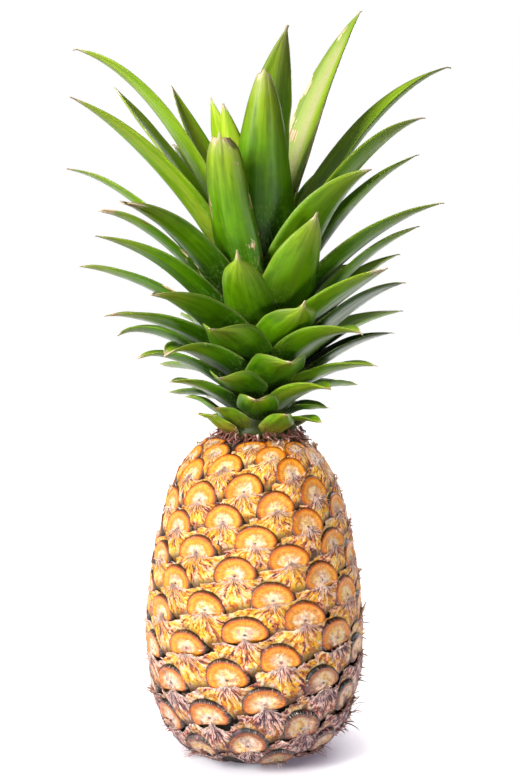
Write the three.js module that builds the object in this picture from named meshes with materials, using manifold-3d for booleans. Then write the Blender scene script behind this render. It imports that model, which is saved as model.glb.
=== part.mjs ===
// A whole ripe pineapple with its crown, standing on its base.
// Millimetres, +Z up, the front of the fruit faces -Y, the origin is on the base.
import * as THREE from 'three';
import { mergeVertices } from 'three/addons/utils/BufferGeometryUtils.js';
import Module from 'manifold-3d';

const wasm = await Module();
wasm.setup();

// ---------- driving dimensions ----------
const GAP = 0.3; // clear space between touching pieces
const DIVERGENCE = 137.508; // degrees from one eye or leaf to the next along the spiral

// The body of the fruit, as radius and height pairs from the crown down to the base.
const FRUIT_PROFILE = [
  [20.5, 167], [25.4, 165.4], [29.2, 162.6], [32.4, 159], [35.4, 155], [38.8, 149.4],
  [42.4, 141.5], [45.6, 132], [48.3, 121.5], [50.6, 111.5], [52.5, 101], [54.2, 88],
  [55.4, 74], [55.9, 61], [55.3, 48], [53.4, 36.5], [50.8, 26.8], [47.4, 18.6], [43, 11.8],
  [37.5, 6.4], [31, 2.6], [24, 0],
];
const EYE_FIRST = -39; // eyes are numbered downward, eye 0 faces the front
const EYE_LAST = 76;
const EYE_ROWS = [ // eye number and its distance down the profile
  [-50, 1.5], [-34, 14.3], [-20, 33], [0, 57.4], [20, 83.3], [34, 103], [55, 136.3], [68, 160.5],
  [87, 191],
];
const EYE_TWIST = { start: -0.2, perEye: -0.119, curve: 8.4, until: 62 }; // degrees
const EYE_BULGE = 0.155; // how far the round top of an eye reaches into the row above
const EYE_CREVICE = -2.3; // depth of the line between eyes
const EYE_PEAK = 2.4; // height of the bract tip at the middle of an eye
const FOOT_RING = 24; // radius of the flat ring that the fruit stands on
const RING_SIDES = 24;
const SOCKET = { radius: 13.6, depth: 10 }; // hollow round the cut stalk in the base

const CROWN_PLACE = new THREE.Vector3(3, 0, 167); // the crown stands a little off the axis
const CROWN_FIRST_AZIMUTH = 17.1; // degrees from the front towards +X
const STEM_PROFILE = [ // radius and height of the crown's stem
  [20, 0.5], [19, 5], [15, 14], [12, 26], [9.5, 42], [7, 58], [4.5, 74], [2.5, 84],
];
const STEM_SIDES = 12;
const LEAF_EDGE = 0.7; // thickness at a leaf's margins
const FIRST_FREE_LEAF = 21; // leaves below this one are short and fused to the stem
const FIRST_LEAF = -2; // leaves are numbered upward
const LAST_LEAF = 79;
const MISSING_LEAVES = [55, 78]; // lost before the fruit was picked, or hidden in the heart
const TORN_LEAVES = { 50: 0.08, 53: 0.04, 58: 0.06, 63: 0.06 }; // share of the tip that is gone
const FUSED_HEART = [76, 79]; // the unopened leaves in the heart

// Leaves whose pose departs from the rule: azimuth, reach, tip height, tip lean in degrees,
// and for a few the lean at the root.
const LEAF_POSES = {
  '-2': [-52, 40, 14, 88], 0: [20, 38, 15, 80], 2: [102, 30, 9, 90], 3: [-35, 40, 18, 80],
  5: [50, 40, 10, 95], 6: [-88, 39, 21, 90], 8: [-3, 42, 23, 75], 10: [82, 35, 15.5, 85],
  11: [-55, 54, 31, 92], 13: [40, 53, 28, 98], 14: [-108, 51, 22, 80], 15: [115, 57, 25.5, 88],
  16: [-23, 52, 34, 80], 18: [62, 64, 39, 90], 19: [-76, 64, 42, 112], 21: [15, 56, 42, 80],
  22: [-128, 70, 35.5, 76], 23: [94, 68, 54, 77], 24: [-43, 66, 45, 118], 26: [42, 71, 56, 98, 34],
  27: [-96, 75, 53, 116], 28: [118, 87, 65, 80], 29: [-20, 66, 58, 75], 31: [74, 74, 80, 74],
  32: [-63, 84, 64, 90], 34: [22, 54, 70, 30], 35: [-116, 50, 72, 80], 36: [107, 76, 95.3, 66],
  37: [-38, 82, 74, 85], 39: [54, 74, 86.5, 62], 40: [-83, 91.5, 88.5, 82], 41: [139, 58, 86, 80],
  42: [-9, 58, 94, 25], 43: [-136, 56, 84, 85], 44: [87, 80, 108.6, 66], 45: [-58, 90.5, 102, 79],
  47: [34, 50, 112, 12], 48: [-103, 52, 88, 80], 49: [119, 60, 90, 75], 50: [-20, 50, 150, 6],
  51: [-156, 70, 110, 75], 52: [75, 92, 119.5, 73], 53: [-84, 81, 116.2, 80.5, 36],
  54: [152, 55, 112, 75], 56: [-123, 54, 106, 85], 57: [99, 82.3, 146.8, 61, 21],
  58: [-51, 83, 117, 79, 36], 60: [47, 69.5, 133.5, 72], 61: [-91, 99, 138.8, 78, 38],
  62: [132, 70, 150, 65], 63: [1.5, 36, 181, 0], 64: [-143, 78, 158, 60], 65: [79, 81.5, 162, 69],
  66: [-62, 100, 167, 66], 67: [168, 72, 165, 62], 68: [36, 22, 205, 14, 3],
  69: [-111, 81, 183, 38], 70: [112, 108, 197, 69], 71: [-33, 32, 167, 12],
  72: [-165, 66, 168, 60], 73: [70, 9, 118, 5], 74: [-78, 92.5, 195, 72], 75: [124, 64, 225, 33, 9],
  76: [8, 12, 150, 5], 77: [-129, 62, 186, 24], 79: [-50, 33, 170, 8],
};
// Leaves that are wider or narrower than the rule, as a share of it.
const LEAF_WIDTHS = {
  28: 0.9, 42: 0.78, 45: 0.85, 47: 1.15, 53: 0.88, 58: 0.88, 60: 1.1, 61: 0.86, 63: 1.06,
  65: 1.25, 66: 0.78, 68: 1.3, 69: 0.85, 70: 1.1, 74: 1.15, 75: 1.3, 79: 1.25,
};

const COLOURS = { fruit: 0xc98a45, stalk: 0xd8c49a, stem: 0x7f9a3c, leaf: 0x4f8a1e };

// ---------- small helpers ----------
const radians = (degrees) => (degrees * Math.PI) / 180;
const mix = (a, b, t) => a + (b - a) * t;
const clamp01 = (t) => Math.min(1, Math.max(0, t));
const smooth = (t) => clamp01(t) ** 2 * (3 - 2 * clamp01(t));
const wrapDegrees = (angle) => ((((angle + 180) % 360) + 360) % 360) - 180;

// A repeatable number from 0 to 1 for each seed.
function noise(seed) {
  const value = Math.sin(seed * 127.1 + 311.7) * 43758.5453;
  return value - Math.floor(value);
}

// A smooth curve through [input, output] pairs that never overshoots them.
function curveThrough(pairs) {
  const slope = (i) => (pairs[i + 1][1] - pairs[i][1]) / (pairs[i + 1][0] - pairs[i][0]);
  const slopes = pairs.map((_, i) => {
    if (i === 0) return slope(0);
    if (i === pairs.length - 1) return slope(i - 1);
    const [before, after] = [slope(i - 1), slope(i)];
    return before * after <= 0 ? 0 : (2 * before * after) / (before + after);
  });
  return (input) => {
    let i = 0;
    while (i < pairs.length - 2 && input > pairs[i + 1][0]) i += 1;
    const span = pairs[i + 1][0] - pairs[i][0];
    const t = clamp01((input - pairs[i][0]) / span);
    const [t2, t3] = [t * t, t * t * t];
    return (2 * t3 - 3 * t2 + 1) * pairs[i][1] + (t3 - 2 * t2 + t) * span * slopes[i]
      + (3 * t2 - 2 * t3) * pairs[i + 1][1] + (t3 - t2) * span * slopes[i + 1];
  };
}

// Collects points by name and triangles, and gives a closed BufferGeometry.
class Surface {
  constructor() {
    this.names = new Map();
    this.points = [];
    this.triangles = [];
  }

  point(name, place) {
    if (!this.names.has(name)) {
      this.names.set(name, this.points.length);
      this.points.push(place());
    }
    return this.names.get(name);
  }

  triangle(a, b, c) {
    this.triangles.push([a, b, c]);
  }

  quad(a, b, c, d) {
    this.triangle(a, b, c);
    this.triangle(a, c, d);
  }

  geometry() {
    const geometry = new THREE.BufferGeometry();
    const flat = this.points.flatMap((p) => [p.x, p.y, p.z]);
    geometry.setAttribute('position', new THREE.Float32BufferAttribute(flat, 3));
    geometry.setIndex(this.triangles.flat());
    return geometry;
  }
}

// A point at a distance from the axis, an azimuth from the front, and a height.
function aroundAxis(radius, azimuth, height) {
  return new THREE.Vector3(radius * Math.sin(azimuth), -radius * Math.cos(azimuth), height);
}

// ---------- solids ----------
function solidOf(geometry) {
  const bare = geometry.clone();
  bare.deleteAttribute('normal');
  bare.deleteAttribute('uv');
  const merged = mergeVertices(bare, 1e-4);
  return new wasm.Manifold(new wasm.Mesh({
    numProp: 3,
    vertProperties: new Float32Array(merged.attributes.position.array),
    triVerts: new Uint32Array(merged.index.array),
  }));
}

// Splits triangles into connected bodies and keeps the one with the most volume.
function largestBody(solid) {
  const mesh = solid.getMesh();
  const parent = Array.from({ length: mesh.vertProperties.length / mesh.numProp }, (_, i) => i);
  const root = (i) => {
    let at = i;
    while (parent[at] !== at) at = parent[at];
    return at;
  };
  const corner = (t, c) => mesh.triVerts[3 * t + c];
  const count = mesh.triVerts.length / 3;
  for (let t = 0; t < count; t += 1) {
    const top = root(corner(t, 0));
    parent[root(corner(t, 1))] = top;
    parent[root(corner(t, 2))] = top;
  }
  const at = (i) => new THREE.Vector3().fromArray(mesh.vertProperties, i * mesh.numProp);
  const volumes = new Map();
  for (let t = 0; t < count; t += 1) {
    const [a, b, c] = [0, 1, 2].map((i) => at(corner(t, i)));
    const body = root(corner(t, 0));
    volumes.set(body, (volumes.get(body) ?? 0) + a.dot(b.cross(c)) / 6);
  }
  const [kept] = [...volumes].sort((a, b) => b[1] - a[1])[0];
  const geometry = new THREE.BufferGeometry();
  const positions = parent.flatMap((_, i) => at(i).toArray());
  geometry.setAttribute('position', new THREE.Float32BufferAttribute(positions, 3));
  const index = [];
  for (let t = 0; t < count; t += 1) {
    if (root(corner(t, 0)) === kept) index.push(corner(t, 0), corner(t, 1), corner(t, 2));
  }
  geometry.setIndex(index);
  return geometry.toNonIndexed();
}

// ---------- the fruit ----------
// The profile as a smooth line, measured by the distance down from the crown.
const profileLine = new THREE.CatmullRomCurve3(
  FRUIT_PROFILE.map(([radius, height]) => new THREE.Vector3(radius, 0, height)),
  false, 'centripetal',
);
profileLine.arcLengthDivisions = 800;
const PROFILE_LENGTH = profileLine.getLength();
const rowOfEye = curveThrough(EYE_ROWS);

// Eyes sit on a lattice whose steps are 8 and 13 eyes on, which run right-down and left-down.
const STEP_8 = 8 * DIVERGENCE - 3 * 360;
const STEP_13 = 13 * DIVERGENCE - 5 * 360;

// The rows twist a little more towards both ends of the fruit.
function eyeAzimuth(a, b) {
  const eye = 8 * a + 13 * b;
  const bent = Math.min(eye, EYE_TWIST.until);
  const more = eye - bent;
  const curve = (bent / 50) ** 2 + (more * 2 * bent) / 2500 / 3;
  const twist = EYE_TWIST.start + EYE_TWIST.perEye * eye + EYE_TWIST.curve * curve;
  return radians(STEP_8 * a + STEP_13 * b + twist);
}

// A point of the fruit's skin at lattice place a, b, raised along the normal.
function skinPoint(a, b, raise) {
  const distance = rowOfEye(8 * a + 13 * b);
  const along = clamp01(distance / PROFILE_LENGTH);
  const spot = profileLine.getPointAt(along);
  const tangent = profileLine.getTangentAt(along);
  const ends = Math.min(distance - 4, PROFILE_LENGTH - distance);
  const lift = raise * mix(0.25, 1, smooth(ends / 26));
  const radius = spot.x - tangent.z * lift;
  const height = spot.z + tangent.x * lift;
  return aroundAxis(radius, eyeAzimuth(a, b), Math.max(height, 0.02));
}

// The outline of an eye: twelve lattice offsets clockwise from its top corner.
// The two upper edges bulge out as round arcs, and the lower edges give way to the next eyes.
function eyeOutline(a0, b0) {
  const corners = [[-0.5, -0.5], [0.5, -0.5], [0.5, 0.5], [-0.5, 0.5]];
  return corners.flatMap(([a, b], side) => {
    const [nextA, nextB] = corners[(side + 1) % 4];
    return [0, 1, 2].map((third) => {
      const [midA, midB] = [mix(a, nextA, third / 3), mix(b, nextB, third / 3)];
      const eye = 8 * (a0 + midA) + 13 * (b0 + midB);
      const fade = smooth((EYE_LAST - eye) / 20) * smooth((eye - EYE_FIRST) / 8);
      const bulge = EYE_BULGE * mix(0.1, 1, fade) * Math.sin((Math.PI * third) / 3);
      return side % 2 === 0 ? [midA, midB - bulge] : [midA - bulge, midB];
    });
  });
}

// Relief of an eye on two rings round its middle, in the order of the outline.
// The inner ring has every other point of the outer one.
const OUTER_RING = {
  size: 0.8,
  raise: [0.9, 0.9, 0.6, 0.1, -0.4, -1.0, -1.7, -1.0, -0.4, 0.1, 0.6, 0.9],
};
const INNER_RING = { size: 0.46, raise: [1.2, 1.5, 0.9, 0.0, 0.9, 1.5] };

// One name for a lattice place, whichever turn round the fruit it is counted from.
function latticeName(a, b) {
  const turns = Math.floor((a + 0.25) / 13);
  return `${(a - 13 * turns).toFixed(3)},${(b + 8 * turns).toFixed(3)}`;
}

function addEye(skin, a, b) {
  const outline = eyeOutline(a, b);
  const size = 0.85 + 0.3 * noise(8 * a + 13 * b);
  const place = (offset, scale, raise, label) => {
    const [pa, pb] = [a + offset[0] * scale, b + offset[1] * scale];
    return skin.point(label + latticeName(pa, pb), () => skinPoint(pa, pb, raise));
  };
  const border = outline.map((offset) => place(offset, 1, EYE_CREVICE, 'edge'));
  const outer = outline.map((o, i) => place(o, OUTER_RING.size, OUTER_RING.raise[i] * size, 'ring'));
  const inner = INNER_RING.raise.map(
    (raise, i) => place(outline[2 * i], INNER_RING.size, raise * size, 'ring'),
  );
  const tip = place([-0.05, -0.05], 1, EYE_PEAK * size, 'tip');
  border.forEach((_, i) => {
    const next = (i + 1) % 12;
    skin.quad(border[next], border[i], outer[i], outer[next]);
  });
  inner.forEach((_, i) => {
    const [at, next] = [inner[i], inner[(i + 1) % 6]];
    const between = outer[2 * i + 1];
    skin.triangle(between, outer[2 * i], at);
    skin.triangle(between, at, next);
    skin.triangle(outer[(2 * i + 2) % 12], between, next);
    skin.triangle(next, at, tip);
  });
}

// The open edges of a surface, as loops of point numbers sorted by azimuth.
function openLoops(skin) {
  const edges = new Map();
  skin.triangles.forEach(([a, b, c]) => {
    [[a, b], [b, c], [c, a]].forEach(([from, to]) => {
      if (!edges.delete(`${to},${from}`)) edges.set(`${from},${to}`, [from, to]);
    });
  });
  const rim = [...new Set([...edges.values()].flat())];
  const middle = (FRUIT_PROFILE[0][1]) / 2;
  const byAzimuth = (list) => list
    .map((i) => ({ i, azimuth: Math.atan2(skin.points[i].x, -skin.points[i].y) }))
    .sort((p, q) => p.azimuth - q.azimuth);
  const [top, base] = [true, false].map((isTop) => byAzimuth(
    rim.filter((i) => (skin.points[i].z > middle) === isTop),
  ));
  return { top, base };
}

// Joins a loop to a plain ring inside it, going round both by azimuth.
function joinLoops(skin, outer, inner, facesUp) {
  const azimuthAt = (loop, i) => loop[i % loop.length].azimuth + 2 * Math.PI * Math.floor(i / loop.length);
  const at = (loop, i) => loop[i % loop.length].i;
  const add = (a, b, c) => (facesUp ? skin.triangle(a, b, c) : skin.triangle(a, c, b));
  let [i, j] = [0, 0];
  while (i < outer.length || j < inner.length) {
    const stepOuter = j >= inner.length
      || (i < outer.length && azimuthAt(outer, i + 1) < azimuthAt(inner, j + 1));
    if (stepOuter) {
      add(at(outer, i), at(outer, i + 1), at(inner, j));
      i += 1;
    } else {
      add(at(outer, i), at(inner, j + 1), at(inner, j));
      j += 1;
    }
  }
}

function addRing(skin, label, radius, height) {
  return Array.from({ length: RING_SIDES }, (_, i) => {
    const azimuth = -Math.PI + (2 * Math.PI * (i + 0.5)) / RING_SIDES;
    return { i: skin.point(`${label}${i}`, () => aroundAxis(radius, azimuth, height)), azimuth };
  });
}

function fruitGeometry() {
  const skin = new Surface();
  for (let eye = EYE_FIRST; eye <= EYE_LAST; eye += 1) {
    const b = (((5 * eye) % 8) + 8) % 8;
    addEye(skin, (eye - 13 * b) / 8, b);
  }
  const { top, base } = openLoops(skin);
  const [topRadius, topHeight] = FRUIT_PROFILE[0];
  const topRing = addRing(skin, 'top', topRadius, topHeight);
  joinLoops(skin, top, topRing, true);
  const topMiddle = skin.point('top middle', () => aroundAxis(0, 0, topHeight));
  topRing.forEach((spot, i) => skin.triangle(spot.i, topRing[(i + 1) % RING_SIDES].i, topMiddle));

  const foot = addRing(skin, 'foot', FOOT_RING, 0);
  const mouth = addRing(skin, 'mouth', SOCKET.radius, 0);
  const floor = addRing(skin, 'floor', SOCKET.radius, SOCKET.depth);
  joinLoops(skin, base, foot, false);
  [[foot, mouth], [mouth, floor]].forEach(([outer, inner]) => joinLoops(skin, outer, inner, false));
  const middle = skin.point('floor middle', () => aroundAxis(0, 0, SOCKET.depth));
  floor.forEach((spot, i) => skin.triangle(floor[(i + 1) % RING_SIDES].i, spot.i, middle));
  return skin.geometry();
}

// ---------- the cut stalk in the base ----------
function stalkGeometry() {
  const radius = SOCKET.radius - 0.6;
  const top = SOCKET.depth - 2 * GAP;
  const outline = [[0, 0], [radius, 0], [radius - 0.4, top], [0, top]];
  return new THREE.LatheGeometry(outline.map(([r, z]) => new THREE.Vector2(r, z)), RING_SIDES)
    .rotateX(Math.PI / 2);
}

// ---------- leaves ----------
const stemRadius = curveThrough(STEM_PROFILE.map(([radius, height]) => [height, radius]));
const isFused = (leaf) => leaf < FIRST_FREE_LEAF || FUSED_HEART.includes(leaf);
const rootHeight = (leaf) => 3 + 0.93 * Math.max(leaf, -2) + (leaf < 0 ? 1 : 0);

// The rule that every leaf follows: higher leaves are longer, straighter and more upright.
function leafRule(leaf) {
  const spread = noise(leaf + 7) - 0.5;
  const reach = Math.min(32 + 1.75 * leaf, 98) - 1.5 * Math.max(0, leaf - 66);
  return {
    azimuth: wrapDegrees(CROWN_FIRST_AZIMUTH - DIVERGENCE * leaf),
    reach: reach + 6 * spread,
    height: 5 + 1.5 * leaf + 0.0165 * leaf ** 2 + 6 * spread,
    tipLean: 95 - 0.4 * leaf,
  };
}

function leafForm(leaf) {
  const rule = leafRule(leaf);
  const [azimuth, reach, height, tipLean, rootLean = mix(64, 17, clamp01(leaf / 75))] =
    LEAF_POSES[leaf] ?? [rule.azimuth, rule.reach, rule.height, rule.tipLean];
  const root = rootHeight(leaf);
  const rootThickness = mix(1.3, 1.6, smooth(leaf / 30)) - 0.4 * smooth((leaf - 45) / 30);
  const clearance = isFused(leaf) ? -1.6 : 0.55 + rootThickness / 2;
  const inner = new THREE.Vector2(stemRadius(root) + clearance, root);
  const tip = new THREE.Vector2(reach, height);
  const span = inner.distanceTo(tip);
  const direction = (lean) => new THREE.Vector2(Math.sin(radians(lean)), Math.cos(radians(lean)));
  return {
    azimuth: radians(azimuth),
    line: new THREE.CubicBezierCurve(
      inner,
      inner.clone().addScaledVector(direction(rootLean), 0.36 * span),
      tip.clone().addScaledVector(direction(tipLean), -0.26 * span),
      tip,
    ),
    width: (mix(20, 35, smooth(leaf / 28)) - 11 * smooth((leaf - 63) / 16)) * (LEAF_WIDTHS[leaf] ?? 1),
    hollow: mix(2.2, 1.3, smooth(1.25 * Math.abs(Math.sin(radians(azimuth))) - 0.25)),
    rootThickness,
    rootRadius: inner.x,
  };
}

// Width along the leaf as a share of its widest: a broad sheath that narrows to a point.
const widthShare = curveThrough([
  [0, 0.9], [0.15, 0.95], [0.35, 1], [0.6, 0.84], [0.8, 0.55], [0.93, 0.25], [1, 0.05],
]);
const STATIONS_LONG = [0, 0.14, 0.3, 0.48, 0.68, 0.86, 1];
const STATIONS_SHORT = [0, 0.25, 0.5, 0.75, 1];

// The cross-section of a blade at share u of its length: a round channel, open to the stem.
function leafSection(leaf, form, u, extra) {
  const centre = form.line.getPoint(u);
  const sheath = Math.min((isFused(leaf) ? 0.6 : 0.8) * form.width, 1.6 * (form.rootRadius + 1.5));
  const share = widthShare(u * (1 - (TORN_LEAVES[leaf] ?? 0)));
  const width = mix(sheath, form.width * share, smooth(u / 0.3)) + 2 * extra;
  const channel = mix(1.25, form.hollow, smooth((u - 0.3) / 0.4));
  const turn = Math.min(2.2, Math.max(channel, width / (centre.x + 1)));
  const middle = mix(form.rootThickness, 0.9, smooth(u / 0.75));
  return { centre, along: form.line.getTangent(u), turn, bend: width / turn, middle };
}

// A point of a section, from margin to margin as side -1 to 1, out from its middle face.
function bladePoint(form, section, side, face, extra, endwise) {
  const { centre, along, turn, bend, middle } = section;
  const angle = (side * turn) / 2;
  const offset = face * (mix(middle, LEAF_EDGE, side * side) / 2 + extra);
  const rise = bend * (1 - Math.cos(angle)) + offset * Math.cos(angle);
  const sideways = (bend - offset) * Math.sin(angle);
  const radial = centre.x - along.y * rise + along.x * endwise;
  const spot = aroundAxis(radial, form.azimuth, centre.y + along.x * rise + along.y * endwise);
  spot.x += sideways * Math.cos(form.azimuth);
  spot.y += sideways * Math.sin(form.azimuth);
  return spot;
}

// One leaf blade as a closed solid. Extra thickness all round gives the clearance that it needs.
function leafGeometry(leaf, extra = 0) {
  const form = leafForm(leaf);
  const stations = isFused(leaf) ? STATIONS_SHORT : STATIONS_LONG;
  const across = isFused(leaf) ? [-1, 0, 1] : [-1, -0.36, 0.36, 1];
  const blade = new Surface();
  const rows = stations.map((u, row) => {
    const section = leafSection(leaf, form, u, extra);
    const endwise = { 0: -extra, [stations.length - 1]: extra }[row] ?? 0;
    return across.map((side) => [1, -1].map((face) => blade.point(
      `${row} ${side} ${face}`, () => bladePoint(form, section, side, face, extra, endwise),
    )));
  });
  rows.slice(1).forEach((next, r) => joinSections(blade, rows[r], next));
  closeSection(blade, rows[0], false);
  closeSection(blade, rows[rows.length - 1], true);
  return blade.geometry();
}

// The skin between two sections, split into triangles alike on both faces.
function joinSections(blade, row, next) {
  const last = row.length - 1;
  for (let i = 0; i < last; i += 1) {
    blade.quad(row[i][0], next[i][0], next[i + 1][0], row[i + 1][0]);
    blade.quad(row[i][1], row[i + 1][1], next[i + 1][1], next[i][1]);
  }
  blade.quad(row[0][0], row[0][1], next[0][1], next[0][0]);
  blade.quad(row[last][0], next[last][0], next[last][1], row[last][1]);
}

function closeSection(blade, row, isTip) {
  row.slice(1).forEach((next, i) => {
    const corners = [row[i][0], next[0], next[1], row[i][1]];
    blade.quad(...(isTip ? corners.reverse() : corners));
  });
}

// ---------- the crown's stem with its short leaves ----------
function stemGeometry(extra = 0) {
  const top = STEM_PROFILE[STEM_PROFILE.length - 1];
  const outline = [
    [0, STEM_PROFILE[0][1] - extra],
    ...STEM_PROFILE.map(([radius, height]) => [radius + extra, height]),
    [0, top[1] + 1.5 + extra],
  ];
  return new THREE.LatheGeometry(outline.map(([r, z]) => new THREE.Vector2(r, z)), STEM_SIDES)
    .rotateX(Math.PI / 2);
}

// A leaf's own solid, and the fatter one that cuts the clearance round it.
function leafSolids(leaf) {
  return { own: solidOf(leafGeometry(leaf)), fat: solidOf(leafGeometry(leaf, GAP)) };
}

function boxesMeet(a, b) {
  const [p, q] = [a.boundingBox(), b.boundingBox()];
  return [0, 1, 2].every((i) => p.min[i] <= q.max[i] && q.min[i] <= p.max[i]);
}

// Takes the fat forms of the neighbours out of a solid wherever they would touch it.
function clearOf(solid, neighbours) {
  return neighbours
    .filter(({ own }) => boxesMeet(solid, own))
    .filter(({ own }) => solid.intersect(own).volume() > 0.001)
    .reduce((rest, { fat }) => rest.subtract(fat), solid);
}

const leafNumbers = Array.from({ length: LAST_LEAF - FIRST_LEAF + 1 }, (_, i) => LAST_LEAF - i)
  .filter((leaf) => !MISSING_LEAVES.includes(leaf));

function crownSolids() {
  const core = { own: solidOf(stemGeometry()), fat: solidOf(stemGeometry(GAP)) };
  const solids = new Map(leafNumbers.map((leaf) => [leaf, leafSolids(leaf)]));
  const placed = leafNumbers.filter((leaf) => FUSED_HEART.includes(leaf)).map((leaf) => solids.get(leaf));
  const free = leafNumbers.filter((leaf) => !isFused(leaf));
  const leaves = new Map();
  free.forEach((leaf) => {
    leaves.set(leaf, largestBody(clearOf(solids.get(leaf).own, [core, ...placed])));
    placed.push(solids.get(leaf));
  });
  const stem = leafNumbers.filter(isFused)
    .reduce((solid, leaf) => solid.add(solids.get(leaf).own), core.own);
  return { leaves, stem: largestBody(clearOf(stem, free.map((leaf) => solids.get(leaf)))) };
}

// ---------- the whole pineapple ----------
function pieceOf(name, geometry, colour, roughness) {
  const material = new THREE.MeshStandardMaterial({ color: colour, roughness, metalness: 0 });
  const mesh = new THREE.Mesh(geometry, material);
  mesh.name = name;
  return mesh;
}

function buildPineapple() {
  const pineapple = new THREE.Group();
  pineapple.add(pieceOf('fruit', fruitGeometry(), COLOURS.fruit, 0.45));
  pineapple.add(pieceOf('cut_stalk', stalkGeometry(), COLOURS.stalk, 0.8));

  const crown = new THREE.Group();
  crown.position.copy(CROWN_PLACE);
  const { leaves, stem } = crownSolids();
  crown.add(pieceOf('crown_stem', stem, COLOURS.stem, 0.5));
  leaves.forEach((geometry, leaf) => {
    crown.add(pieceOf(`leaf_${String(leaf).padStart(2, '0')}`, geometry, COLOURS.leaf, 0.4));
  });
  pineapple.add(crown);
  return pineapple;
}

export default buildPineapple();
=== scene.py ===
"""A whole ripe pineapple on a plain white floor.

The fruit and the crown repeat the rules of the part's own source, with finer pieces:
round eyes, papery bracts, dry fringes and channelled leaves. Lengths are in millimetres
until a mesh is made, which is in metres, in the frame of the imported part.
"""
import math

import bpy
import numpy as np
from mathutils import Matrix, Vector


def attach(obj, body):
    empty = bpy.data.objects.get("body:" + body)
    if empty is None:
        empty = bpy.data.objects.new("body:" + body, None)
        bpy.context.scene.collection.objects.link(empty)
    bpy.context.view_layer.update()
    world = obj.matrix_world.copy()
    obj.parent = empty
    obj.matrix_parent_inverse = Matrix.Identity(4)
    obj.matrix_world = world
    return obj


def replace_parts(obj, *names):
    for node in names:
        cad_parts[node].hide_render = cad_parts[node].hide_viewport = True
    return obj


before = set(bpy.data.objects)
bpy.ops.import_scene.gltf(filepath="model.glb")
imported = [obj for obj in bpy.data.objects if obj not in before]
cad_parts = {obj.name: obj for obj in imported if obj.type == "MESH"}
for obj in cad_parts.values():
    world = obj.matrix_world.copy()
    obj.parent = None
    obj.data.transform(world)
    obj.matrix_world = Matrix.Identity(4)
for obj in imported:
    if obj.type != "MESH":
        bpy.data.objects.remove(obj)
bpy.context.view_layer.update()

# ---------- the fruit's rules ----------
DIVERGENCE = 137.508
FRUIT_PROFILE = [
    (20.5, 167), (25.4, 165.4), (29.2, 162.6), (32.4, 159), (35.4, 155), (38.8, 149.4),
    (42.4, 141.5), (45.6, 132), (48.3, 121.5), (50.6, 111.5), (52.5, 101), (54.2, 88),
    (55.4, 74), (55.9, 61), (55.3, 48), (53.4, 36.5), (50.8, 26.8), (47.4, 18.6),
    (43, 11.8), (37.5, 6.4), (31, 2.6), (24, 0),
]
EYE_FIRST, EYE_LAST = -48, 78
# An eye's number and how far down the profile its row is.
EYE_ROWS = [
    (-50, 1.5), (-34, 14.3), (-20, 33), (0, 57.4), (20, 83.3), (34, 103), (55, 136.3),
    (68, 160.5), (87, 191),
]
# How far the eyes turn from an even lattice, in degrees: a start, a rate for each eye and a
# curve over a span of eyes, which grows evenly past the last number.
TWIST_START, TWIST_PER_EYE, TWIST_CURVE, TWIST_SPAN, TWIST_UNTIL = -0.2, -0.119, 8.4, 50, 62
STEP_8 = 8 * DIVERGENCE - 3 * 360
STEP_13 = 13 * DIVERGENCE - 5 * 360
SOCKET_RADIUS, SOCKET_DEPTH, FOOT_RADIUS = 13.6, 10, 24
CREVICE = -2.4  # how deep the skin between the eyes lies
CELL_HALF_TURN = 16.2  # degrees from the middle of a cell to its side corner

# Places on an eye are in cell units, where 1 is the way from its middle to a corner.
EYE_LINE = -0.15  # where the bract's upper edge crosses the eye
EYE_RISE = 0.16  # how far above that line the middle of the disc is
RAY_RISE = 0.12  # how far above it the bract's rays start
DISC_TALL, DISC_TALLER = 11.7, 0.9  # in mm; an eye that isn't ripe has a taller disc
EYE_SHIFTS = {21: 0.18, 13: 0.2, 42: -0.17, -21: -0.2, -18: -0.2, -34: 0.15, -29: -0.15, 63: -0.1}

# ---------- the crown's rules ----------
CROWN_PLACE = (3, 0, 167)
CROWN_FIRST_AZIMUTH = 17.1
STEM_PROFILE = [
    (20, 0.5), (19, 5), (15, 14), (12, 26), (9.5, 42), (7, 58), (4.5, 74), (2.5, 84),
]
FIRST_FREE_LEAF, FIRST_LEAF, LAST_LEAF = 21, -2, 79
MISSING_LEAVES = (55, 78)
FUSED_HEART = (76, 79)
# How much of its end a leaf has lost.
TORN_LEAVES = {50: 0.08, 53: 0.04, 58: 0.06, 63: 0.06}
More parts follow.
